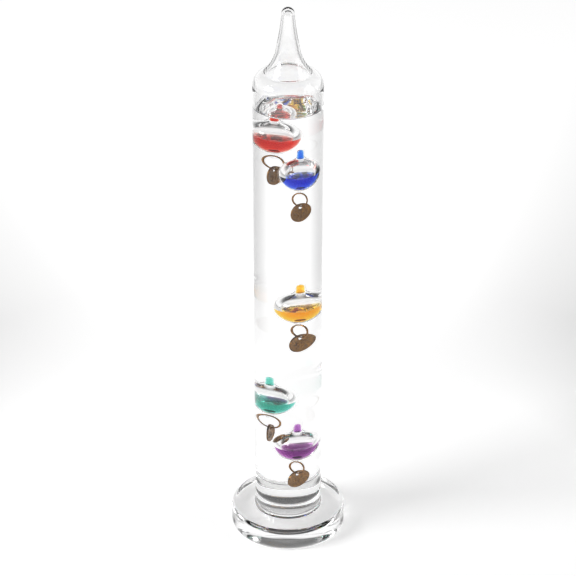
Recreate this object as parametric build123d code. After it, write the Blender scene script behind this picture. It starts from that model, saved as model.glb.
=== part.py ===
"""Galileo thermometer: a sealed glass cylinder of clear liquid on a glass foot, with five glass floats.

Units are millimetres. The origin is the centre of the foot's underside and +Z is up.
The viewer stands on the -Y side. Every solid that is a separate piece on the real object
is a separate STEP file.
"""
import os

from build123d import *

# Driving dimensions of the vessel
TOTAL_HEIGHT = 336.4
TUBE_R = 20.0
TUBE_WALL = 1.8
FOOT_R = 34.5
FOOT_HEIGHT = 14.2
FOOT_TOP_ROUND = 3.0
FOOT_BOTTOM_ROUND = 2.0
WELD_FLARE = 1.4  # how far the glass weld spreads out over the foot
WELD_HEIGHT = 2.6
WELD_DIP = 0.65  # how far the weld's arc dips in from its chord
FLOOR_THICKNESS = 6.8  # thick bottom of the tube
FLOOR_ROUND = 4.0  # inside corner between floor and wall

# Shoulder, cone and closed tip: drops below the tip, and radii as shares of the tube's
SHOULDER_DROP = 46.2
SHOULDER_BULGE = 1.9  # how far the shoulder's arc stands out from its chord
SHOULDER_WALL = 0.85  # wall thickness here and below, measured across the axis
SHOULDER_SHIFT = 0.76  # how much lower the same bend lies on the inside
CROWN_DROP = 37.8  # the crown is the crease between shoulder and cone
CROWN_SHIFT = 1.9
CROWN_SHARE = 0.685
CONE_DROP = 22.2
CONE_SHARE = 0.32
CONE_HOLLOW = 1.5  # how far the cone's arc dips in from its chord
CONE_WALL = 1.5
CONE_SHIFT = 0.6
STEM_DROP = 4.0
STEM_SHARE = 0.18
STEM_HOLLOW = 0.35
STEM_WALL = 1.1
STEM_SHIFT = 0.65
SEAL_THICKNESS = 2.2  # glass of the closed tip above the air space

# Liquids
LEVEL_DROP = 58.8  # surface of the clear liquid below the tip
WET_GAP = 0.1  # between the clear liquid and the tube
POOL_GAP = 0.05  # between a float's coloured liquid and its bulb
SWIM_GAP = 0.3  # between a float and the liquid round it
POOL_LEVEL = 0.0  # surface of a float's coloured pool, from the bulb's centre
PLUG_RISE = 0.0  # bottom of the coloured plug in the neck, above the bulb's top

# One float: blown bulb, neck and pinched eyelet
BULB_SHARE = 0.544  # the bulb's radius as a share of the bore's
BULB_WALL = 0.5
NECK_HEIGHT = 6.8  # above the bulb's top
NECK_R = 2.05
NECK_TOP_R = 1.8
NECK_ROUND = 0.8  # height of the rounded end of the neck
NECK_SEAL = 1.4  # glass of the neck's closed end
NECK_WALL = 0.55
NECK_HOLLOW_ROUND = 0.6  # height of the rounded end of the neck's inside
FLARE_HEIGHT = 2.5  # above the bulb's top
FLARE_FOOT_SHARE = 0.394
FLARE_DIP = 0.75
FLARE_INNER_DIP = 0.6
NECK_HOLLOW_SHARE = 0.85  # radius where that rounded end starts, as a share of the neck's inside
SIDE_DROP_SHARE = 0.77  # below this the bulb's side runs nearly straight to the eyelet
SIDE_BULGE = 0.15
SIDE_END_DROP = 0.2  # below the bulb's sphere
EYELET_HOLE_DROP = 1.6  # hole's centre below the bulb's sphere
EYELET_R = 1.9
EYELET_THICKNESS = 2.0
EYELET_HOLE_R = 0.85
EYELET_ROOT = 0.6  # how far the pinched glass reaches up into the bulb's thick underside

# Jump ring and tag
RING_OUTER_R = 4.5
WIRE_R = 0.425
RING_SEAT_GAP = 0.22  # wire to the eyelet's lower edge, halfway through the hole
TAG_R = 5.75
TAG_THICKNESS = 0.8
TAG_EDGE = 0.15
TAG_HOLE_R = 1.1
TAG_RIM = 1.2  # metal between the tag's hole and its edge
TAG_SEAT_GAP = 0.15  # tag's hole edge to the wire

# Sizes that follow from these
BORE_R = TUBE_R - TUBE_WALL
FLOOR_Z = FOOT_HEIGHT + FLOOR_THICKNESS
SHOULDER_Z = TOTAL_HEIGHT - SHOULDER_DROP
LEVEL_Z = TOTAL_HEIGHT - LEVEL_DROP
BULB_R = BULB_SHARE * BORE_R
BULB_INNER_R = BULB_R - BULB_WALL
NECK_TOP = BULB_R + NECK_HEIGHT
FLARE_TOP = BULB_R + FLARE_HEIGHT
FLARE_FOOT_R = FLARE_FOOT_SHARE * BULB_R
SIDE_END = BULB_R + SIDE_END_DROP
HOLE_DROP = BULB_R + EYELET_HOLE_DROP
EYELET_END = HOLE_DROP + EYELET_R
RING_R = RING_OUTER_R - WIRE_R
RING_TOP = HOLE_DROP + EYELET_HOLE_R - WIRE_R - RING_SEAT_GAP
RING_CENTRE = RING_TOP + RING_R
TAG_HOLE_OFFSET = TAG_R - TAG_RIM - TAG_HOLE_R
TAG_HOLE = RING_CENTRE + RING_R + TAG_HOLE_R - WIRE_R - TAG_SEAT_GAP
TAG_CENTRE = TAG_HOLE + TAG_HOLE_OFFSET
PLAY = BORE_R - SWIM_GAP - BULB_R  # how far a float can stand off the tube's axis

# Heights of the bulbs' centres: two float below the surface, two rest low, one is between
RED_DROP = 17.7
BLUE_DROP = 37.4
PURPLE_RISE = 36.2
GREEN_RISE = 66.6
YELLOW_SHARE = 0.4128  # of the way up from the green one to the blue one
RED_Z = LEVEL_Z - RED_DROP
BLUE_Z = LEVEL_Z - BLUE_DROP
PURPLE_Z = FLOOR_Z + PURPLE_RISE
GREEN_Z = FLOOR_Z + GREEN_RISE
YELLOW_Z = GREEN_Z + YELLOW_SHARE * (BLUE_Z - GREEN_Z)

# Place of each float: x and y as shares of the play, height, turns of its ring and tag
FLOATS = {
    "red": {"x": -0.5875, "y": 0.625, "z": RED_Z, "ring_turn": -38.0, "tag_turn": 55.0},
    "blue": {"x": 0.675, "y": -0.7, "z": BLUE_Z, "ring_turn": -30.0, "tag_turn": 46.0},
    "yellow": {"x": 0.525, "y": 0.65, "z": YELLOW_Z, "ring_turn": -42.0, "tag_turn": 52.0},
    "green": {"x": -0.7875, "y": 0.6375, "z": GREEN_Z, "ring_turn": -32.0, "tag_turn": 68.0},
    "purple": {"x": 0.4625, "y": 0.0625, "z": PURPLE_Z, "ring_turn": -42.0, "tag_turn": 52.0},
}


# Helpers
def bowed(start, end, bulge):
    """Arc from start to end that leaves its chord by bulge, to the left of the direction of travel."""
    sx, sy = start
    ex, ey = end
    length = ((ex - sx) ** 2 + (ey - sy) ** 2) ** 0.5
    middle = ((sx + ex) / 2 - (ey - sy) / length * bulge, (sy + ey) / 2 + (ex - sx) / length * bulge)
    return ThreePointArc(start, middle, end)


def dome(rim, top):
    """Arc from a rim point to the axis that meets the axis square, as part of a ball."""
    (x, z), (_, pole) = rim, top
    centre = (x**2 + z**2 - pole**2) / (2 * (z - pole))
    radius = pole - centre
    half = ((x / 2) ** 2 + ((z + pole) / 2 - centre) ** 2) ** 0.5
    middle = (x / 2 / half * radius, centre + ((z + pole) / 2 - centre) / half * radius)
    return ThreePointArc(rim, middle, top)


def turned(curves):
    """Solid of revolution about Z from a closed outline drawn in the XZ plane."""
    with BuildPart() as made:
        with BuildSketch(Plane.XZ):
            with BuildLine():
                for curve in curves():
                    add(curve)
            make_face()
        revolve(axis=Axis.Z)
    return made.part


def sphere_height(radius, at):
    """Height of a sphere's surface above its centre, at a distance from its axis."""
    return (radius**2 - at**2) ** 0.5


# Vessel
def vessel_outline():
    """Outside of the tube, shoulder, cone, stem and tip, up the axis side and back down."""
    weld = (TUBE_R, FOOT_HEIGHT + WELD_HEIGHT)
    shoulder = (TUBE_R, SHOULDER_Z)
    crown = (CROWN_SHARE * TUBE_R, TOTAL_HEIGHT - CROWN_DROP)
    cone = (CONE_SHARE * TUBE_R, TOTAL_HEIGHT - CONE_DROP)
    stem = (STEM_SHARE * TUBE_R, TOTAL_HEIGHT - STEM_DROP)
    tip = (0, TOTAL_HEIGHT)
    foot = (TUBE_R + WELD_FLARE, FOOT_HEIGHT)
    yield Line((0, FOOT_HEIGHT), foot)
    yield bowed(foot, weld, WELD_DIP)
    yield Line(weld, shoulder)
    yield bowed(shoulder, crown, -SHOULDER_BULGE)
    yield bowed(crown, cone, CONE_HOLLOW)
    yield bowed(cone, stem, STEM_HOLLOW)
    yield dome(stem, tip)
    yield Line(tip, (0, FOOT_HEIGHT))


def bore_outline(floor_z, gap, top=None):
    """Inside of the vessel, shrunk by gap; with top given it is cut off level there."""
    wall_r = BORE_R - gap
    corner_foot = (wall_r - FLOOR_ROUND, floor_z)
    corner_top = (wall_r, floor_z + FLOOR_ROUND)
    yield Line((0, floor_z), corner_foot)
    yield bowed(corner_foot, corner_top, -FLOOR_ROUND * (1 - 0.5**0.5))
    if top is not None:
        yield Line(corner_top, (wall_r, top))
        yield Line((wall_r, top), (0, top))
        yield Line((0, top), (0, floor_z))
        return
    shoulder = (wall_r, SHOULDER_Z - SHOULDER_SHIFT)
    crown = (CROWN_SHARE * TUBE_R - SHOULDER_WALL, TOTAL_HEIGHT - CROWN_DROP - CROWN_SHIFT)
    cone = (CONE_SHARE * TUBE_R - CONE_WALL, TOTAL_HEIGHT - CONE_DROP - CONE_SHIFT)
    stem = (STEM_SHARE * TUBE_R - STEM_WALL, TOTAL_HEIGHT - STEM_DROP - STEM_SHIFT)
    tip = (0, TOTAL_HEIGHT - SEAL_THICKNESS)
    yield Line(corner_top, shoulder)
    yield bowed(shoulder, crown, -SHOULDER_BULGE)
    yield bowed(crown, cone, CONE_HOLLOW)
    yield bowed(cone, stem, STEM_HOLLOW)
    yield dome(stem, tip)
    yield Line(tip, (0, floor_z))


def make_glass_cylinder():
    outside = turned(vessel_outline)
    inside = turned(lambda: bore_outline(FLOOR_Z, 0.0))
    return outside - inside


def make_glass_foot():
    with BuildPart() as foot:
        Cylinder(FOOT_R, FOOT_HEIGHT, align=(Align.CENTER, Align.CENTER, Align.MIN))
        rims = foot.edges().filter_by(GeomType.CIRCLE).sort_by(Axis.Z)
        fillet(rims[-1], FOOT_TOP_ROUND)
        fillet(foot.edges().filter_by(GeomType.CIRCLE).sort_by(Axis.Z)[0], FOOT_BOTTOM_ROUND)
    return foot.part


# Float, drawn with its bulb's centre at the origin
def bulb_outline():
    """Outside of the bulb and its neck; the eyelet is added below."""
    flare_foot = (FLARE_FOOT_R, sphere_height(BULB_R, FLARE_FOOT_R))
    side_drop = SIDE_DROP_SHARE * BULB_R
    side = (sphere_height(BULB_R, side_drop), -side_drop)
    eyelet = (EYELET_R, -SIDE_END)
    shoulder = (NECK_TOP_R, NECK_TOP - NECK_ROUND)
    top = (0, NECK_TOP)
    yield Line((0, -SIDE_END), eyelet)
    yield bowed(eyelet, side, -SIDE_BULGE)
    yield ThreePointArc(side, (BULB_R, 0), flare_foot)
    yield bowed(flare_foot, (NECK_R, FLARE_TOP), FLARE_DIP)
    yield Line((NECK_R, FLARE_TOP), shoulder)
    yield dome(shoulder, top)
    yield Line(top, (0, -SIDE_END))


def cavity_outline(gap=0.0):
    """Inside of the bulb and its neck, shrunk by gap."""
    r = BULB_INNER_R - gap
    floor = (0, -r)
    neck_r = NECK_R - NECK_WALL - gap
    mouth_r = FLARE_FOOT_R - BULB_WALL - gap
    mouth = (mouth_r, sphere_height(r, mouth_r))
    neck_top = NECK_TOP - NECK_SEAL - gap
    crown = (NECK_HOLLOW_SHARE * neck_r, neck_top - NECK_HOLLOW_ROUND)
    yield ThreePointArc(floor, (r, 0), mouth)
    yield bowed(mouth, (neck_r, FLARE_TOP), FLARE_INNER_DIP)
    yield Line((neck_r, FLARE_TOP), crown)
    yield dome(crown, (0, neck_top))
    yield Line((0, neck_top), floor)


def make_bulb(ring_turn):
    """Blown bulb with its neck, and the eyelet pinched flat across the ring's plane and pierced."""
    shell = turned(bulb_outline)
    root = -BULB_INNER_R + EYELET_ROOT
    stub = Box(EYELET_THICKNESS, 2 * EYELET_R, root + HOLE_DROP)
    stub = Pos(0, 0, (root - HOLE_DROP) / 2) * stub
    eye = Pos(0, 0, -HOLE_DROP) * Rot(0, 90, 0) * Cylinder(EYELET_R, EYELET_THICKNESS)
    hole = Pos(0, 0, -HOLE_DROP) * Rot(0, 90, 0) * Cylinder(EYELET_HOLE_R, 3 * EYELET_THICKNESS)
    eyelet = Rot(0, 0, ring_turn) * (stub + eye - hole)
    return shell + eyelet - turned(cavity_outline)


def poured(bottom, top):
    """Coloured liquid that fills the bulb's inside from one level up to another."""
    slab = Pos(0, 0, (bottom + top) / 2) * Box(3 * BULB_R, 3 * BULB_R, top - bottom)
    return turned(lambda: cavity_outline(POOL_GAP)) & slab


def make_fill():
    """Pool of coloured liquid that half fills the bulb, with a level surface."""
    return poured(-BULB_R, POOL_LEVEL)


def make_plug():
    """Coloured liquid caught in the neck."""
    return poured(BULB_R + PLUG_RISE, NECK_TOP)


def make_ring(ring_turn, clearance=0.0):
    """Jump ring, standing upright in the eyelet."""
    upright = Pos(0, 0, -RING_CENTRE) * Rot(90, 0, 0) * Torus(RING_R, WIRE_R + clearance)
    return Rot(0, 0, ring_turn) * upright


def make_tag(tag_turn, clearance=0.0):
    """Stamped disc with a hole near its edge."""
    disc = Cylinder(TAG_R + clearance, TAG_THICKNESS + 2 * clearance)
    if clearance == 0.0:
        disc = chamfer(disc.edges().filter_by(GeomType.CIRCLE), TAG_EDGE)
        disc = disc - Pos(0, TAG_HOLE_OFFSET, 0) * Cylinder(TAG_HOLE_R, 3 * TAG_THICKNESS)
    return Rot(0, 0, tag_turn) * Pos(0, 0, -TAG_CENTRE) * Rot(90, 0, 0) * disc


def make_room(float_):
    """Space that one float takes up in the clear liquid."""
    ball = Sphere(BULB_R + SWIM_GAP)
    flare_foot = sphere_height(BULB_R, FLARE_FOOT_R)
    flare = Pos(0, 0, (flare_foot + FLARE_TOP) / 2) * Cone(
        FLARE_FOOT_R + 2 * SWIM_GAP, NECK_R + SWIM_GAP, FLARE_TOP - flare_foot
    )
    neck_height = NECK_TOP + 2 * SWIM_GAP - FLARE_TOP
    neck = Pos(0, 0, FLARE_TOP + neck_height / 2) * Cylinder(NECK_R + SWIM_GAP, neck_height)
    stub_height = EYELET_END + SWIM_GAP - BULB_R + 1
    stub_r = (EYELET_R**2 + (EYELET_THICKNESS / 2) ** 2) ** 0.5 + SWIM_GAP
    stub = Pos(0, 0, -EYELET_END - SWIM_GAP + stub_height / 2) * Cylinder(stub_r, stub_height)
    ring = make_ring(float_["ring_turn"], SWIM_GAP)
    tag = make_tag(float_["tag_turn"], SWIM_GAP)
    return ball + flare + neck + stub + ring + tag


def standing(float_, solid):
    return Pos(float_["x"] * PLAY, float_["y"] * PLAY, float_["z"]) * solid


def make_clear_liquid():
    """Clear liquid that fills the tube round the floats."""
    liquid = turned(lambda: bore_outline(FLOOR_Z, WET_GAP, LEVEL_Z))
    for float_ in FLOATS.values():
        liquid = liquid - standing(float_, make_room(float_))
    return liquid


# Write every piece
pieces = {
    "glass_cylinder": make_glass_cylinder(),
    "glass_foot": make_glass_foot(),
    "clear_liquid": make_clear_liquid(),
}
for colour, float_ in FLOATS.items():
    pieces[f"{colour}_fill"] = standing(float_, make_fill())
    pieces[f"{colour}_plug"] = standing(float_, make_plug())
    pieces[f"{colour}_bulb"] = standing(float_, make_bulb(float_["ring_turn"]))
    pieces[f"{colour}_ring"] = standing(float_, make_ring(float_["ring_turn"]))
    pieces[f"{colour}_tag"] = standing(float_, make_tag(float_["tag_turn"]))

os.makedirs("parts", exist_ok=True)
for name, solid in pieces.items():
    export_step(solid, f"parts/{name}.step")
    print(name, len(solid.solids()), round(solid.volume, 1))
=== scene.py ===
# %% [markdown]
# # Galileo thermometer
# A sealed glass cylinder stands on a thick glass foot. It is filled with a clear liquid in
# which five blown glass floats rise and sink as the room warms and cools. Each float is half
# filled with a coloured liquid and carries a small brass tag on a jump ring.
# This first step loads the imported model, which fixes every size and place.

# %% Load the model
import math

import bpy
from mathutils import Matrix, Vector


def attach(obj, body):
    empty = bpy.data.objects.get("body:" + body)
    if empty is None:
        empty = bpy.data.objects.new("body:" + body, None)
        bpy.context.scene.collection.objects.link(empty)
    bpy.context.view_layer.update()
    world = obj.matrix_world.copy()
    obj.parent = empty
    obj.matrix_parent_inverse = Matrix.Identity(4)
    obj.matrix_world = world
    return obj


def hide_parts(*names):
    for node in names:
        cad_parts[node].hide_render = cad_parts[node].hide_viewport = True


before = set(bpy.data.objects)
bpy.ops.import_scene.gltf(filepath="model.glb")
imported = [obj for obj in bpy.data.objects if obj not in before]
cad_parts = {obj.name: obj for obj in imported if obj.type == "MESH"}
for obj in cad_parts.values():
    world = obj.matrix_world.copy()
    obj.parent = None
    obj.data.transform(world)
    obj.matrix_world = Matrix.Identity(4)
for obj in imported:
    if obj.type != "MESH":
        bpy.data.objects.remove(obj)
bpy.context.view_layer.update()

# %% [markdown]
# Every size below is in millimetres, as a glassblower would read it from a drawing, and one
# function turns it into Blender's metres. Colours are picked as sRGB hex values, the way a
# colour card gives them, and one function turns them into the linear values that light adds up in.

# %% Units and colours
def mm(value):
    return value / 1000


def linear(hex_colour):
    parts = [int(hex_colour[i : i + 2], 16) / 255 for i in (0, 2, 4)]
    return [p / 12.92 if p <= 0.04045 else ((p + 0.055) / 1.055) ** 2.4 for p in parts] + [1.0]


# %% [markdown]
# A material is a small network of nodes. One helper adds a node, sets its settings and inputs,
# and links what comes before it, so that each material below reads from top to bottom.

# %% Node helper
def node(tree, kind, links=None, inputs=None, **settings):
    """Add a node; settings are its properties, inputs its socket values, links its sources."""
    made = tree.nodes.new(kind)
    for name, value in settings.items():
        setattr(made, name, value)
    for name, value in (inputs or {}).items():
        made.inputs[name].default_value = value
    for name, source in (links or {}).items():
        tree.links.new(source, made.inputs[name])
    return made


def new_material(name):
    """An empty node material with its output node."""
    material = bpy.data.materials.new(name)
    material.use_nodes = True
    material.node_tree.nodes.clear()
    return material, material.node_tree, node(material.node_tree, "ShaderNodeOutputMaterial")


# %% [markdown]
# Glass, liquid and air bend light by the ratio of their indices of refraction. Borosilicate
# glass has 1.50, the clear paraffin-like carrier 1.40 and the coloured alcohol in the floats
# 1.36. A renderer that meets one surface at a time needs that ratio at each surface: 1.50 where
# glass meets air, 1.50 / 1.40 where glass meets the carrier, and so on. So each kind of contact
# is a material of its own, and a mesh carries one of them on each of its faces.

# %% Indices of refraction
GLASS = 1.50
CARRIER = 1.40
ALCOHOL = 1.36


# %% [markdown]
# Flame-polished glass is perfectly smooth. What the eye gets is sharp reflections and slow,
# wavy distortion from tiny drawing marks, so there is no roughness but a very faint, long bump.

# %% Glass materials
def flame_polished_glass(name, ior, wave=0.0, colour="ffffff", alpha=1.0):
    material, tree, out = new_material(name)
    glass = node(
        tree,
        "ShaderNodeBsdfPrincipled",
        inputs={
            "Base Color": linear(colour),
            "Roughness": 0.0,
            "IOR": ior,
            "Transmission Weight": 1.0,
            "Alpha": alpha,
        },
    )
    if wave:
        where = node(tree, "ShaderNodeTexCoord")
        stretch = node(
            tree, "ShaderNodeMapping", {"Vector": where.outputs["Object"]}, {"Scale": (1, 1, 0.25)}
        )
        waves = node(
            tree,
            "ShaderNodeTexNoise",
            {"Vector": stretch.outputs["Vector"]},
            {"Scale": 1 / mm(14), "Detail": 1.0},
        )
        bump = node(
            tree,
            "ShaderNodeBump",
            {"Height": waves.outputs["Fac"]},
            {"Strength": 1.0, "Distance": mm(wave)},
        )
        tree.links.new(bump.outputs["Normal"], glass.inputs["Normal"])
    tree.links.new(glass.outputs["BSDF"], out.inputs["Surface"])
    return material


glass_in_air = flame_polished_glass("borosilicate_glass_in_air", GLASS, wave=0.05)
glass_wetted = flame_polished_glass("borosilicate_glass_wetted_by_carrier", GLASS / CARRIER)
glass_welded = flame_polished_glass("borosilicate_glass_at_the_weld", GLASS, alpha=0.0)
glass_on_pool = flame_polished_glass("borosilicate_glass_wetted_by_alcohol", GLASS / ALCOHOL)
foot_glass = flame_polished_glass("pressed_glass_foot", GLASS, wave=0.12)
carrier_surface = flame_polished_glass("clear_carrier_surface", CARRIER)
carrier_side = flame_polished_glass("clear_carrier_against_glass", CARRIER, alpha=0.0)
print("glass materials ready")


# %% [markdown]
# The coloured pools are dyed alcohol. Dye takes light away along the whole path through the
# liquid, so the middle of a pool looks deeper than its rim. That is volume absorption: the
# colour is what is left of white light after a set distance. The pool's level surface meets
# air, its sides meet glass, so its index depends on whether the face looks upwards.

# %% Dyed alcohol
def dyed_alcohol(name, colour, depth):
    """Liquid that turns white light into the colour over a depth in mm."""
    loss = [-math.log(max(part, 0.0006)) for part in linear(colour)[:3]]
    density = max(loss) / mm(depth)
    left = [1 - part / max(loss) for part in loss] + [1.0]
    material, tree, out = new_material(name)
    where = node(tree, "ShaderNodeNewGeometry")
    upward = node(tree, "ShaderNodeSeparateXYZ", {"Vector": where.outputs["True Normal"]})
    level = node(tree, "ShaderNodeMath", {0: upward.outputs["Z"]}, {1: 0.97}, operation="GREATER_THAN")
    surface = node(
        tree,
        "ShaderNodeBsdfPrincipled",
        {"Alpha": level.outputs["Value"]},
        {"Roughness": 0.0, "IOR": ALCOHOL, "Transmission Weight": 1.0},
    )
    surface.inputs["Base Color"].default_value = linear("ffffff")
    dye = node(tree, "ShaderNodeVolumeAbsorption", inputs={"Color": left, "Density": density})
    tree.links.new(surface.outputs["BSDF"], out.inputs["Surface"])
    tree.links.new(dye.outputs["Volume"], out.inputs["Volume"])
    return material


POOL_COLOURS = {
    "red": dyed_alcohol("red_dyed_alcohol", "b80a04", 18),
    "blue": dyed_alcohol("blue_dyed_alcohol", "0010a8", 18),
    "yellow": dyed_alcohol("orange_dyed_alcohol", "e88a04", 18),
    "green": dyed_alcohol("teal_dyed_alcohol", "128870", 18),
    "purple": dyed_alcohol("violet_dyed_alcohol", "560a5c", 18),
}
PLUG_COLOURS = {
    "red": dyed_alcohol("red_dyed_alcohol_in_the_neck", "d01808", 4),
    "blue": dyed_alcohol("blue_dyed_alcohol_in_the_neck", "1050d8", 4),
    "yellow": dyed_alcohol("orange_dyed_alcohol_in_the_neck", "f09810", 4),
    "green": dyed_alcohol("teal_dyed_alcohol_in_the_neck", "40b8a0", 4),
    "purple": dyed_alcohol("violet_dyed_alcohol_in_the_neck", "9040a0", 4),
}


# %% [markdown]
# The tags and rings are thin brass that has hung in the liquid for years. Brass darkens to a
# brown bronze with flecks of bright metal where it rubs; here the flecks are scattered at random.

# %% Aged brass
def aged_brass(name, bright, brown, dark, fleck):
    material, tree, out = new_material(name)
    where = node(tree, "ShaderNodeTexCoord")
    fine = node(
        tree,
        "ShaderNodeTexNoise",
        {"Vector": where.outputs["Object"]},
        {"Scale": 1 / mm(fleck), "Detail": 4.0, "Roughness": 0.65},
    )
    blotch = node(
        tree,
        "ShaderNodeTexNoise",
        {"Vector": where.outputs["Object"]},
        {"Scale": 1 / mm(4 * fleck), "Detail": 2.0},
    )
    ramp = node(tree, "ShaderNodeValToRGB", {"Fac": fine.outputs["Fac"]})
    for spot, (place, colour) in enumerate(((0.38, dark), (0.52, brown), (0.68, bright))):
        if spot > 1:
            ramp.color_ramp.elements.new(place)
        ramp.color_ramp.elements[spot].position = place
        ramp.color_ramp.elements[spot].color = linear(colour)
    tarnish = node(
        tree,
        "ShaderNodeMix",
        {"Factor": blotch.outputs["Fac"]},
        data_type="RGBA",
    )
    tree.links.new(ramp.outputs["Color"], tarnish.inputs[6])
    tarnish.inputs[7].default_value = linear(brown)
    rough = node(
        tree, "ShaderNodeMapRange", {"Value": fine.outputs["Fac"]}, {"To Min": 0.55, "To Max": 0.28}
    )
    bump = node(
        tree,
        "ShaderNodeBump",
        {"Height": fine.outputs["Fac"]},
        {"Strength": 0.5, "Distance": mm(0.05)},
    )
    metal = node(
        tree,
        "ShaderNodeBsdfPrincipled",
        {
            "Base Color": tarnish.outputs[2],
            "Roughness": rough.outputs["Result"],
            "Normal": bump.outputs["Normal"],
        },
        {"Metallic": 1.0},
    )
    tree.links.new(metal.outputs["BSDF"], out.inputs["Surface"])
    return material


tag_brass = aged_brass("stamped_brass_browned", "e0a050", "8a6438", "4a3830", 0.9)
ring_brass = aged_brass("drawn_brass_wire_browned", "e8b060", "a07038", "5a4028", 0.7)

# %% [markdown]
# Most of the pieces are turned: blown glass is spun in the flame, so its outline is the same
# all round. The outline is drawn as a chain of points, one extrusion after another, and Spin
# carries it round the axis. Short steps along every curve keep the refraction smooth.


# %% Outline helpers
def arc(start, end, bulge, steps):
    """Points from start to end on an arc that leaves its chord by bulge, start left out."""
    (x0, z0), (x1, z1) = start, end
    half = math.dist(start, end) / 2
    if abs(bulge) < 1e-6:
        return [(x0 + (x1 - x0) * i / steps, z0 + (z1 - z0) * i / steps) for i in range(1, steps + 1)]
    ux, uz = (x1 - x0) / (2 * half), (z1 - z0) / (2 * half)
    radius = (half**2 + bulge**2) / (2 * bulge)
    cx = (x0 + x1) / 2 - uz * (bulge - radius)
    cz = (z0 + z1) / 2 + ux * (bulge - radius)
    first = math.atan2(z0 - cz, x0 - cx)
    sweep = math.atan2(z1 - cz, x1 - cx) - first
    sweep = (sweep + math.pi) % (2 * math.pi) - math.pi
    turns = [first + sweep * i / steps for i in range(1, steps + 1)]
    return [(cx + abs(radius) * math.cos(a), cz + abs(radius) * math.sin(a)) for a in turns]


def dome(rim, pole, steps):
    """Points from a rim to the axis on a ball that meets the axis square."""
    (x, z), top = rim, pole[1]
    centre = (x**2 + z**2 - top**2) / (2 * (z - top))
    radius = abs(top - centre)
    first = math.atan2(z - centre, x)
    last = math.copysign(math.pi / 2, top - centre)
    turns = [first + (last - first) * i / steps for i in range(1, steps + 1)]
    return [(radius * math.cos(a), centre + radius * math.sin(a)) for a in turns[:-1]] + [pole]


def ball(radius, low, high, steps):
    """Points on a ball round the origin from one height to another, going up or down."""
    first, last = math.asin(low / radius), math.asin(high / radius)
    turns = [first + (last - first) * i / steps for i in range(1, steps + 1)]
    return [(radius * math.cos(a), radius * math.sin(a)) for a in turns]

# %% [markdown]
# Turning is one outline, Spin, and a merge that closes the seam and the poles. Two more helpers
# join shells into one piece and set which edges stay sharp.


# %% Turning helper
def deselect():
    bpy.ops.object.select_all(action="DESELECT")


def turn_on_lathe(name, outline, steps=128, hollow=False, centre=(0.0, 0.0, 0.0)):
    """Spin an outline of (radius, height) points in mm into a closed shell."""
    deselect()
    cx, cy, cz = centre
    points = [Vector((mm(cx + r), mm(cy), mm(cz + z))) for r, z in outline]
    bpy.ops.mesh.primitive_plane_add(size=mm(1), location=points[0])
    shell = bpy.context.active_object
    shell.name = shell.data.name = name
    bpy.ops.object.transform_apply(location=True)
    bpy.ops.object.mode_set(mode="EDIT")
    bpy.ops.mesh.select_all(action="SELECT")
    bpy.ops.mesh.merge(type="CENTER")
    for here, there in zip(points, points[1:]):
        bpy.ops.mesh.extrude_region_move(TRANSFORM_OT_translate={"value": there - here})
    bpy.ops.mesh.select_all(action="SELECT")
    bpy.ops.mesh.spin(steps=steps, angle=2 * math.pi, center=(mm(cx), mm(cy), 0), axis=(0, 0, 1))
    bpy.ops.mesh.select_all(action="SELECT")
    bpy.ops.mesh.remove_doubles(threshold=mm(0.002))
    bpy.ops.mesh.dissolve_degenerate(threshold=mm(0.0005))
    bpy.ops.mesh.select_all(action="SELECT")
    bpy.ops.mesh.normals_make_consistent(inside=hollow)
    bpy.ops.object.mode_set(mode="OBJECT")
    bpy.ops.object.shade_smooth()
    return shell


def join(name, pieces):
    """Join several shells into one piece."""
    deselect()
    for piece in pieces:
        piece.select_set(True)
    bpy.context.view_layer.objects.active = pieces[0]
    bpy.ops.object.join()
    pieces[0].name = pieces[0].data.name = name
    return pieces[0]


def soften(piece, degrees=32):
    deselect()
    piece.select_set(True)
    bpy.context.view_layer.objects.active = piece
    bpy.ops.object.shade_smooth_by_angle(angle=math.radians(degrees))


# %% [markdown]
# The tube is drawn from one piece of glass: a thick bottom welded to the foot, a straight bore,
# a rounded shoulder, and a cone drawn out to a stem that is melted shut. Outside and inside are
# turned as two shells. The inside is a hollow, so its faces point into it.

# %% Glass cylinder
TUBE_R, BORE_R = 20.0, 18.2
WELD_FLARE, FLOOR_ROUND = 1.4, 4.0
ROUND_BULGE = 1 - 0.5**0.5  # how far a quarter round leaves its chord, for a radius of 1
FOOT_TOP, FLOOR_Z = 14.2, 21.0
SHOULDER_Z, LEVEL_Z, TIP_Z = 290.2, 277.6, 336.4

weld, shoulder = (TUBE_R, 16.8), (TUBE_R, SHOULDER_Z)
crown, cone, stem = (13.7, 298.6), (6.4, 314.2), (3.6, 332.4)
outline = [(0.0, FOOT_TOP), (TUBE_R + WELD_FLARE, FOOT_TOP)]
outline += arc((TUBE_R + WELD_FLARE, FOOT_TOP), weld, 0.65, 8)
outline += [(TUBE_R, z) for z in (17.2, 18.5, 60.0, 120.0, 180.0, 240.0, 287.0, 289.5)] + [shoulder]
outline += arc(shoulder, crown, -1.9, 20)
outline += arc(crown, cone, 1.5, 26)
outline += arc(cone, stem, 0.35, 22)
outline += dome(stem, (0.0, TIP_Z), 14)
outside = turn_on_lathe("vessel_outside", outline, 192)

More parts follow.
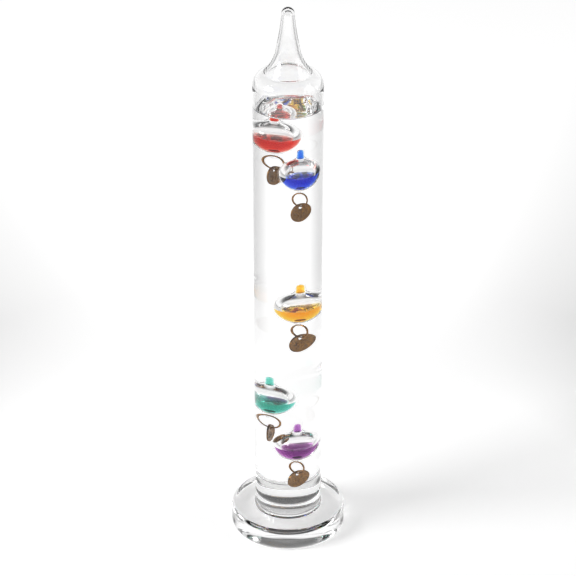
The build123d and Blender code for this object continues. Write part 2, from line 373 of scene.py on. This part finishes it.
corner_foot, corner_top = (BORE_R - FLOOR_ROUND, FLOOR_Z), (BORE_R, FLOOR_Z + FLOOR_ROUND)
shoulder_in, crown_in = (BORE_R, SHOULDER_Z - 0.76), (crown[0] - 0.85, crown[1] - 1.9)
cone_in, stem_in = (cone[0] - 1.5, cone[1] - 0.6), (stem[0] - 1.1, stem[1] - 0.65)
outline = [(0.0, FLOOR_Z), (8.0, FLOOR_Z), (13.5, FLOOR_Z), corner_foot]
outline += arc(corner_foot, corner_top, -FLOOR_ROUND * ROUND_BULGE, 14)
outline += [(BORE_R, z) for z in (25.5, 27.0, 60.0, 120.0, 180.0, 240.0, 276.0)]
outline += [(BORE_R, z) for z in (LEVEL_Z, LEVEL_Z + 0.9, LEVEL_Z + 2.0, 287.0)] + [shoulder_in]
outline += arc(shoulder_in, crown_in, -1.9, 20)
outline += arc(crown_in, cone_in, 1.5, 26)
outline += arc(cone_in, stem_in, 0.35, 22)
outline += dome(stem_in, (0.0, TIP_Z - 2.2), 12)
inside = turn_on_lathe("vessel_inside", outline, 192, hollow=True)

for material in (glass_in_air, glass_wetted, glass_welded):
    outside.data.materials.append(material)
    inside.data.materials.append(material)
for face in outside.data.polygons:
    face.material_index = 2 if face.center.z < mm(FOOT_TOP + 0.05) else 0
for face in inside.data.polygons:
    face.material_index = 1 if face.center.z < mm(LEVEL_Z + 0.9) else 0
soften(outside)
soften(inside, 60)
vessel = join("glass_cylinder_vessel", [outside, inside])
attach(vessel, "vessel")
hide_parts("glass_cylinder")
print(vessel.name, len(vessel.data.polygons), "faces")

# %% [markdown]
# The foot is a thick pressed disc of the same glass with fire-polished rims. The circle of its
# top under the tube is fused to it, so that circle bends no light.

# %% Glass foot
FOOT_R, LOWER_ROUND, UPPER_ROUND = 34.5, 2.0, 3.0
outline = [(0.0, 0.35), (16.0, 0.35), (24.0, 0.2), (28.0, 0.0), (FOOT_R - LOWER_ROUND, 0.0)]
outline += arc((FOOT_R - LOWER_ROUND, 0.0), (FOOT_R, LOWER_ROUND), -LOWER_ROUND * ROUND_BULGE, 10)
outline += [(FOOT_R, 4.0), (FOOT_R, 8.0), (FOOT_R, FOOT_TOP - UPPER_ROUND)]
outline += arc(
    (FOOT_R, FOOT_TOP - UPPER_ROUND), (FOOT_R - UPPER_ROUND, FOOT_TOP), -UPPER_ROUND * ROUND_BULGE, 12
)
outline += [(r, FOOT_TOP) for r in (30.0, 24.0, TUBE_R + WELD_FLARE, 18.0, 0.0)]
foot = turn_on_lathe("pressed_glass_foot_disc", outline, 192)
foot.data.materials.append(foot_glass)
foot.data.materials.append(glass_welded)
for face in foot.data.polygons:
    under_tube = face.center.z > mm(FOOT_TOP - 0.05) and face.center.xy.length < mm(TUBE_R + 1.3)
    face.material_index = 1 if under_tube else 0
soften(foot)
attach(foot, "vessel")
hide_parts("glass_foot")
print(foot.name, len(foot.data.polygons), "faces")

# %% [markdown]
# The carrier liquid fills the tube to below the shoulder and creeps up the glass a little, in
# a meniscus. Only its top bends light as a liquid in air; its sides lie against the glass.

# %% Carrier liquid
WET_GAP, CREEP = 0.04, 0.85  # off the glass; how far the rim of the liquid climbs
LIQUID_R = BORE_R - WET_GAP
outline = [(0.0, FLOOR_Z + WET_GAP), (13.5, FLOOR_Z + WET_GAP), (corner_foot[0], FLOOR_Z + WET_GAP)]
outline += arc(
    (BORE_R - FLOOR_ROUND, FLOOR_Z + WET_GAP),
    (LIQUID_R, FLOOR_Z + FLOOR_ROUND),
    -FLOOR_ROUND * ROUND_BULGE,
    14,
)
outline += [(LIQUID_R, z) for z in (60.0, 120.0, 180.0, 240.0, 276.0, LEVEL_Z, LEVEL_Z + CREEP)]
outline += arc((LIQUID_R, LEVEL_Z + CREEP), (LIQUID_R - 2.2, LEVEL_Z), 0.4, 8)
outline += [(14.0, LEVEL_Z), (9.0, LEVEL_Z), (0.0, LEVEL_Z)]
carrier = turn_on_lathe("clear_carrier_liquid", outline, 192)
carrier.data.materials.append(carrier_side)
carrier.data.materials.append(carrier_surface)
for face in carrier.data.polygons:
    face.material_index = 1 if face.center.z > mm(LEVEL_Z - 0.01) and face.normal.z > 0.1 else 0
soften(carrier, 60)
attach(carrier, "vessel")
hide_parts("clear_liquid")
print(carrier.name, len(carrier.data.polygons), "faces")

# %% [markdown]
# One float is a blown bulb with a short neck, sealed after the dyed alcohol was poured in, and
# a small eyelet pinched from the hot glass below. It is modelled once, with its centre at the
# origin, and copied for each colour.

# %% Float sizes and places
BULB_R, BULB_WALL = 9.9, 0.5
NECK_TOP, FLARE_TOP, NECK_R, NECK_TOP_R = 16.7, 12.4, 2.05, 1.8
HOLE_DROP, EYELET_R, HOLE_R = 11.5, 1.9, 0.85
RING_R, WIRE_R = 4.075, 0.425
RING_CENTRE = HOLE_DROP + HOLE_R - WIRE_R - 0.22 + RING_R
TAG_R, TAG_THICKNESS, TAG_HOLE_R, TAG_HOLE_OFFSET = 5.75, 0.8, 1.1, 3.45
TAG_CENTRE = RING_CENTRE + RING_R + TAG_HOLE_R - WIRE_R - 0.15 + TAG_HOLE_OFFSET
FLOATS = {  # x, y and z of the bulb's centre, turn of the ring and of the tag, degrees stamped on
    "red": (-4.7, 5.0, 259.9, -38, 55, "26"),
    "blue": (5.4, -5.6, 240.2, -30, 46, "24"),
    "yellow": (4.2, 5.2, 150.6, -42, 52, "22"),
    "green": (-6.3, 5.1, 87.6, -32, 68, "20"),
    "purple": (3.7, 0.5, 57.2, -42, 52, "18"),
}

# %% [markdown]
# The bulb is drawn like the vessel: an outside and an inside shell. Below the widest part the
# outside runs nearly straight to the eyelet, where the glass was pulled while hot, and above it
# flares into the neck. The inside stays a ball with a short hollow neck.

# %% Blown bulb
flare_foot = (3.9, (BULB_R**2 - 3.9**2) ** 0.5)
side = ((BULB_R**2 - 7.62**2) ** 0.5, -7.62)
outline = [(0.0, -10.75), (0.7, -10.7), (1.15, -10.45), (1.45, -10.2), (1.9, -10.02)]
outline += arc((1.9, -10.02), side, -0.15, 8)
outline += ball(BULB_R, side[1], flare_foot[1], 56)
outline += arc(flare_foot, (NECK_R, FLARE_TOP), 0.75, 10)
outline += [(NECK_R, 13.5), (1.95, 15.2), (NECK_TOP_R, NECK_TOP - 0.8)]
outline += dome((NECK_TOP_R, NECK_TOP - 0.8), (0.0, NECK_TOP), 8)
bulb_outside = turn_on_lathe("bulb_outside", outline, 96)

INNER_R = BULB_R - BULB_WALL
mouth = (3.4, (INNER_R**2 - 3.4**2) ** 0.5)
NECK_IN = NECK_R - 0.55
NECK_TIP_R = NECK_IN * 0.85
outline = [(0.0, -INNER_R)]
outline += ball(INNER_R, -INNER_R, 0.0, 36)
outline += ball(INNER_R, 0.0, mouth[1], 26)
outline += arc(mouth, (NECK_IN, FLARE_TOP), 0.6, 8)
outline += [(NECK_IN, 13.4), (NECK_TIP_R, NECK_TOP - 2.0)]
outline += dome((NECK_TIP_R, NECK_TOP - 2.0), (0.0, NECK_TOP - 1.4), 6)
bulb_inside = turn_on_lathe("bulb_inside", outline, 96, hollow=True)
print("bulb shells", len(bulb_outside.data.polygons), len(bulb_inside.data.polygons))

# %% [markdown]
# The eyelet starts as a torus: a ring of glass pinched between two blades. It is pulled wider
# along the hole, and its top sinks into the bulb's underside. A Boolean union melts the two
# together, so that no wall of glass is left inside the glass.

# %% Pinched eyelet
EYELET_PULL = 1.75
deselect()
bpy.ops.mesh.primitive_torus_add(
    location=(0, 0, -mm(HOLE_DROP)),
    rotation=(0, math.pi / 2, 0),
    major_radius=mm((EYELET_R + HOLE_R) / 2),
    minor_radius=mm((EYELET_R - HOLE_R) / 2),
    major_segments=40,
    minor_segments=20,
)
eyelet = bpy.context.active_object
bpy.ops.object.transform_apply(location=True, rotation=True)
bpy.ops.object.mode_set(mode="EDIT")
bpy.ops.transform.resize(value=(EYELET_PULL, 1, 1), center_override=(0, 0, -mm(HOLE_DROP)))
bpy.ops.object.mode_set(mode="OBJECT")
melt = bulb_outside.modifiers.new("melt", "BOOLEAN")
melt.operation, melt.solver, melt.object = "UNION", "EXACT", eyelet
deselect()
bulb_outside.select_set(True)
bpy.context.view_layer.objects.active = bulb_outside
bpy.ops.object.modifier_apply(modifier="melt")
bpy.data.objects.remove(eyelet)

for material in (glass_wetted, glass_in_air, glass_on_pool):
    bulb_outside.data.materials.append(material)
    bulb_inside.data.materials.append(material)
for face in bulb_outside.data.polygons:
    face.material_index = 0
for face in bulb_inside.data.polygons:
    wet = face.center.z < 0 or face.center.z > mm(BULB_R)
    face.material_index = 2 if wet else 1
soften(bulb_outside, 40)
soften(bulb_inside, 60)
bulb = join("blown_bulb", [bulb_outside, bulb_inside])
print(bulb.name, len(bulb.data.polygons), "faces")

# %% [markdown]
# The pool lies in the lower half of the bulb with a level surface, and creeps up the glass at
# its rim. A little of the same alcohol is caught in the neck when it is sealed.

# %% Pool and neck plug
POOL_GAP = 0.03
POOL_R = INNER_R - POOL_GAP
outline = [(0.0, -POOL_R)]
outline += ball(POOL_R, -POOL_R, 0.3, 40)
outline += arc(outline[-1], (POOL_R - 1.0, 0.0), 0.15, 5)
outline += [(5.0, 0.0), (0.0, 0.0)]
pool = turn_on_lathe("alcohol_pool", outline, 96)
soften(pool, 50)

outline = [(0.0, BULB_R), (1.3, BULB_R)]
outline += arc((1.95, BULB_R + 0.3), (NECK_IN - POOL_GAP, FLARE_TOP), 0.2, 6)
outline += [(NECK_IN - POOL_GAP, 13.4), (NECK_TIP_R - POOL_GAP, NECK_TOP - 2.0)]
outline += dome((NECK_TIP_R - POOL_GAP, NECK_TOP - 2.0), (0.0, NECK_TOP - 1.43), 6)
plug = turn_on_lathe("alcohol_plug", outline, 48)
soften(plug, 50)
print("pool and plug", len(pool.data.polygons), len(plug.data.polygons))

# %% [markdown]
# A jump ring is a turn of wire, bent until its ends nearly meet. The round section starts as a
# circle, and Spin carries it round, a little less than a full turn.

# %% Jump ring
deselect()
bpy.ops.mesh.primitive_circle_add(
    vertices=16,
    radius=mm(WIRE_R),
    fill_type="NGON",
    location=(mm(RING_R), 0, 0),
    rotation=(math.pi / 2, 0, 0),
)
ring = bpy.context.active_object
ring.name = ring.data.name = "jump_ring"
bpy.ops.object.transform_apply(location=True, rotation=True)
bpy.ops.object.mode_set(mode="EDIT")
bpy.ops.mesh.select_all(action="SELECT")
bpy.ops.mesh.spin(steps=72, angle=math.radians(356), center=(0, 0, 0), axis=(0, 0, 1))
bpy.ops.mesh.select_all(action="SELECT")
bpy.ops.mesh.remove_doubles(threshold=mm(0.001))
bpy.ops.mesh.normals_make_consistent(inside=False)
bpy.ops.object.mode_set(mode="OBJECT")
print("ring", len(ring.data.polygons), [round(v * 1000, 2) for v in ring.dimensions])

# %% [markdown]
# The tag is a stamped disc: the press leaves a raised rim round a sunk field, and the degrees
# stand up in the field. Inset makes the rim, a Boolean punches the hole, and a small bevel
# catches the light along every edge.

# %% Stamped tag
TAG_RIM, TAG_STEP, TAG_SUNK, TAG_EDGE = 0.45, 0.12, 0.14, 0.07
deselect()
bpy.ops.mesh.primitive_cylinder_add(
    vertices=96, radius=mm(TAG_R), depth=mm(TAG_THICKNESS), rotation=(math.pi / 2, 0, 0)
)
tag = bpy.context.active_object
tag.name = tag.data.name = "stamped_tag"
bpy.ops.object.transform_apply(rotation=True)
bpy.ops.object.mode_set(mode="EDIT")
bpy.ops.mesh.select_mode(type="FACE")
bpy.ops.mesh.select_all(action="DESELECT")
bpy.ops.object.mode_set(mode="OBJECT")
for face in tag.data.polygons:
    face.select = abs(face.normal.y) > 0.9
bpy.ops.object.mode_set(mode="EDIT")
bpy.ops.mesh.inset(thickness=mm(TAG_RIM), use_individual=True)
bpy.ops.mesh.inset(thickness=mm(TAG_STEP), depth=-mm(TAG_SUNK), use_individual=True)
bpy.ops.object.mode_set(mode="OBJECT")
bpy.ops.mesh.primitive_cylinder_add(
    vertices=40,
    radius=mm(TAG_HOLE_R),
    depth=mm(3),
    location=(0, 0, mm(TAG_HOLE_OFFSET)),
    rotation=(math.pi / 2, 0, 0),
)
punch = bpy.context.active_object
hole = tag.modifiers.new("hole", "BOOLEAN")
hole.operation, hole.solver, hole.object = "DIFFERENCE", "EXACT", punch
edge = tag.modifiers.new("edge", "BEVEL")
edge.width, edge.segments = mm(TAG_EDGE), 2
edge.limit_method, edge.angle_limit = "ANGLE", math.radians(35)
deselect()
tag.select_set(True)
bpy.context.view_layer.objects.active = tag
bpy.ops.object.modifier_apply(modifier="hole")
bpy.ops.object.modifier_apply(modifier="edge")
bpy.data.objects.remove(punch)
tag.data.materials.append(tag_brass)
soften(tag, 30)
print("tag", len(tag.data.polygons), [round(v * 1000, 2) for v in tag.dimensions])

# %% [markdown]
# The degrees stand up a little from the sunk field, on both sides, as the stamp leaves them.
# They are set as text, turned into mesh, and joined to the tag as part of the same brass.


# %% Stamped degrees
def stamped_number(text):
    """Raised digits for both sides of a tag."""
    sides = []
    for turn in (0, math.pi):
        deselect()
        bpy.ops.object.text_add(rotation=(math.pi / 2, 0, turn))
        digits = bpy.context.active_object
        digits.data.body = text
        digits.data.align_x, digits.data.align_y = "CENTER", "CENTER"
        digits.data.size = mm(5.2)
        digits.data.extrude = mm(0.12)
        digits.data.bevel_depth = mm(0.02)
        bpy.ops.object.convert(target="MESH")
        digits = bpy.context.active_object
        digits.location = (0, math.copysign(mm(0.26), -math.cos(turn)), -mm(1.5))
        bpy.ops.object.transform_apply(location=True, rotation=True)
        sides.append(digits)
    digits = join("stamped_number", sides)
    digits.data.materials.clear()
    digits.data.materials.append(tag_brass)
    return digits


# %% [markdown]
# Now each float gets its own copies: the bulb and ring are turned to where the ring hangs, the
# tag to where it faces, and all are moved to the float's place. The pool and the plug are round,
# so they are only moved.


# %% Place the floats
def copy_of(piece, name):
    made = piece.copy()
    made.data = piece.data.copy()
    made.name = made.data.name = name
    bpy.context.collection.objects.link(made)
    return made


def set_down(piece, place, turn=0.0, tilt=0.0):
    """Turn a piece about the vertical, move it, and keep its place in its mesh."""
    piece.rotation_euler = (math.radians(tilt), 0, math.radians(turn))
    piece.location = place
    deselect()
    piece.select_set(True)
    bpy.context.view_layer.objects.active = piece
    bpy.ops.object.transform_apply(location=True, rotation=True)
    return piece


for colour, (x, y, z, ring_turn, tag_turn, degrees) in FLOATS.items():
    bulb_here = set_down(copy_of(bulb, f"{colour}_blown_bulb"), (mm(x), mm(y), mm(z)), ring_turn)
    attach(bulb_here, f"{colour}_float")
    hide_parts(f"{colour}_bulb")
    pool_here = set_down(copy_of(pool, f"{colour}_alcohol_pool"), (mm(x), mm(y), mm(z)))
    pool_here.data.materials.append(POOL_COLOURS[colour])
    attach(pool_here, f"{colour}_pool")
    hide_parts(f"{colour}_fill")
    plug_here = set_down(copy_of(plug, f"{colour}_neck_plug"), (mm(x), mm(y), mm(z)))
    plug_here.data.materials.append(PLUG_COLOURS[colour])
    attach(plug_here, f"{colour}_float")
    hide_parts(f"{colour}_plug")
    ring_here = copy_of(ring, f"{colour}_jump_ring_wire")
    ring_here.data.materials.append(ring_brass)
    set_down(ring_here, (mm(x), mm(y), mm(z - RING_CENTRE)), ring_turn, 90)
    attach(ring_here, f"{colour}_jump_ring")
    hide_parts(f"{colour}_ring")
    tag_here = join(f"{colour}_stamped_tag", [copy_of(tag, "tag_blank"), stamped_number(degrees)])
    set_down(tag_here, (mm(x), mm(y), mm(z - TAG_CENTRE)), tag_turn)
    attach(tag_here, f"{colour}_temperature_tag")
    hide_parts(f"{colour}_tag")
for piece in (ring, pool, plug, bulb, tag):
    bpy.data.objects.remove(piece)
print("floats placed", list(FLOATS))

# %% [markdown]
# The thermometer stands on a white table with painted light: the table is no lamp, yet it glows a
# little, standing in for the light on an overlit table in a product photograph, so that its shadow
# stays pale. The painted glow fades towards the sides, because glass bends the view of the sides
# into its own edges: dark sides draw the edges as dark lines.

# %% Table
deselect()
bpy.ops.mesh.primitive_plane_add(size=12.0, location=(0, 0, -mm(0.02)))
table = bpy.context.active_object
table.name = table.data.name = "white_table"
bpy.ops.object.transform_apply(location=True)
material, tree, out = new_material("white_table_with_painted_glow")
matt = node(tree, "ShaderNodeBsdfDiffuse", inputs={"Color": linear("f4f4f4"), "Roughness": 0.4})
spot = node(tree, "ShaderNodeTexCoord")
place = node(tree, "ShaderNodeSeparateXYZ", {"Vector": spot.outputs["Object"]})
aside = node(tree, "ShaderNodeMath", {0: place.outputs["X"]}, operation="ABSOLUTE")
turned = node(
    tree, "ShaderNodeMath", {0: aside.outputs["Value"], 1: place.outputs["Y"]}, operation="ARCTAN2"
)
share = node(tree, "ShaderNodeMath", {0: turned.outputs["Value"]}, {1: math.pi}, operation="DIVIDE")
falloff = node(tree, "ShaderNodeValToRGB", {"Fac": share.outputs["Value"]})
GLOW = ((0, 1.0), (20, 1.0), (30, 0.72), (40, 0.5), (50, 0.33), (62, 0.2), (80, 0.06), (155, 0.9))
for step, (degrees, share_left) in enumerate(GLOW):
    if step > 1:
        falloff.color_ramp.elements.new(degrees / 180)
    falloff.color_ramp.elements[step].position = degrees / 180
    falloff.color_ramp.elements[step].color = (share_left, share_left, share_left, 1)
far = node(tree, "ShaderNodeVectorMath", {0: spot.outputs["Object"]}, operation="LENGTH")
beyond = node(
    tree,
    "ShaderNodeMapRange",
    {"Value": far.outputs["Value"]},
    {"From Min": 0.2, "From Max": 0.32},
)
shaped = node(tree, "ShaderNodeMix", {"Factor": beyond.outputs["Result"]}, data_type="RGBA")
shaped.inputs[6].default_value = (0.83, 0.83, 0.83, 1)
tree.links.new(falloff.outputs["Color"], shaped.inputs[7])
# Painted light: the table emits this glow itself, even near the thermometer and fading to the sides
# further out.
glow = node(tree, "ShaderNodeEmission", {"Color": shaped.outputs[2]}, {"Strength": 0.65})
both = node(tree, "ShaderNodeAddShader", {0: matt.outputs["BSDF"], 1: glow.outputs["Emission"]})
tree.links.new(both.outputs["Shader"], out.inputs["Surface"])
table.data.materials.append(material)

# %% [markdown]
# Two softboxes stand left and right, and the room grows darker upwards and to the front. The
# dark parts are what the glass mirrors as thin lines along its rims.


# %% Lights and room
def softbox(name, place, aim, width, height, watts):
    light = bpy.data.lights.new(name, "AREA")
    light.shape, light.size, light.size_y, light.energy = "RECTANGLE", width, height, watts
    lamp = bpy.data.objects.new(name, light)
    bpy.context.collection.objects.link(lamp)
    lamp.location = place
    lamp.rotation_euler = (Vector(aim) - Vector(place)).to_track_quat("-Z", "Y").to_euler()
    return lamp


softbox("softbox_left", (-1.1, -0.35, 0.9), (0, 0, 0.15), 0.6, 0.6, 11)
softbox("softbox_right", (1.2, -0.2, 0.8), (0, 0, 0.15), 0.5, 0.9, 3)
world = bpy.data.worlds.new("studio")
bpy.context.scene.world = world
world.use_nodes = True
tree = world.node_tree
tree.nodes.clear()
look = node(tree, "ShaderNodeTexCoord")
axes = node(tree, "ShaderNodeSeparateXYZ", {"Vector": look.outputs["Generated"]})
backdrop = node(
    tree,
    "ShaderNodeMapRange",
    {"Value": axes.outputs["Z"]},
    {"From Min": 0.25, "From Max": 0.75, "To Min": 1.0, "To Max": 0.10},
    interpolation_type="SMOOTHSTEP",
)
room = node(
    tree,
    "ShaderNodeMapRange",
    {"Value": axes.outputs["Y"]},
    {"From Min": -0.3, "From Max": 0.25, "To Min": 0.12, "To Max": 1.0},
    interpolation_type="SMOOTHSTEP",
)
both = node(tree, "ShaderNodeMath", {0: backdrop.outputs[0], 1: room.outputs[0]}, operation="MULTIPLY")
sky = node(tree, "ShaderNodeBackground", {"Strength": both.outputs[0]}, {"Color": linear("ffffff")})
node(tree, "ShaderNodeOutputWorld", {"Surface": sky.outputs["Background"]})

# %% [markdown]
# The camera stands 1.1 m in front and looks down by 29 degrees, as the photograph does. Light
# crosses up to twenty glass surfaces on its way through a float, so paths may bounce often.

# %% Camera
camera = bpy.data.cameras.new("camera")
camera.sensor_width, camera.lens = 36.0, 135.383
camera.clip_start, camera.clip_end = 0.05, 50
eye = bpy.data.objects.new("camera", camera)
bpy.context.collection.objects.link(eye)
eye.location = (0, -1.1038, 0.7709)
eye.rotation_euler = (math.radians(90 - 28.877), 0, 0)
scene = bpy.context.scene
scene.camera = eye
scene.view_settings.view_transform = "Standard"
scene.cycles.max_bounces = 48
scene.cycles.transmission_bounces = 48
scene.cycles.glossy_bounces = 12
scene.cycles.transparent_max_bounces = 64
scene.cycles.caustics_refractive = True
scene.cycles.caustics_reflective = True
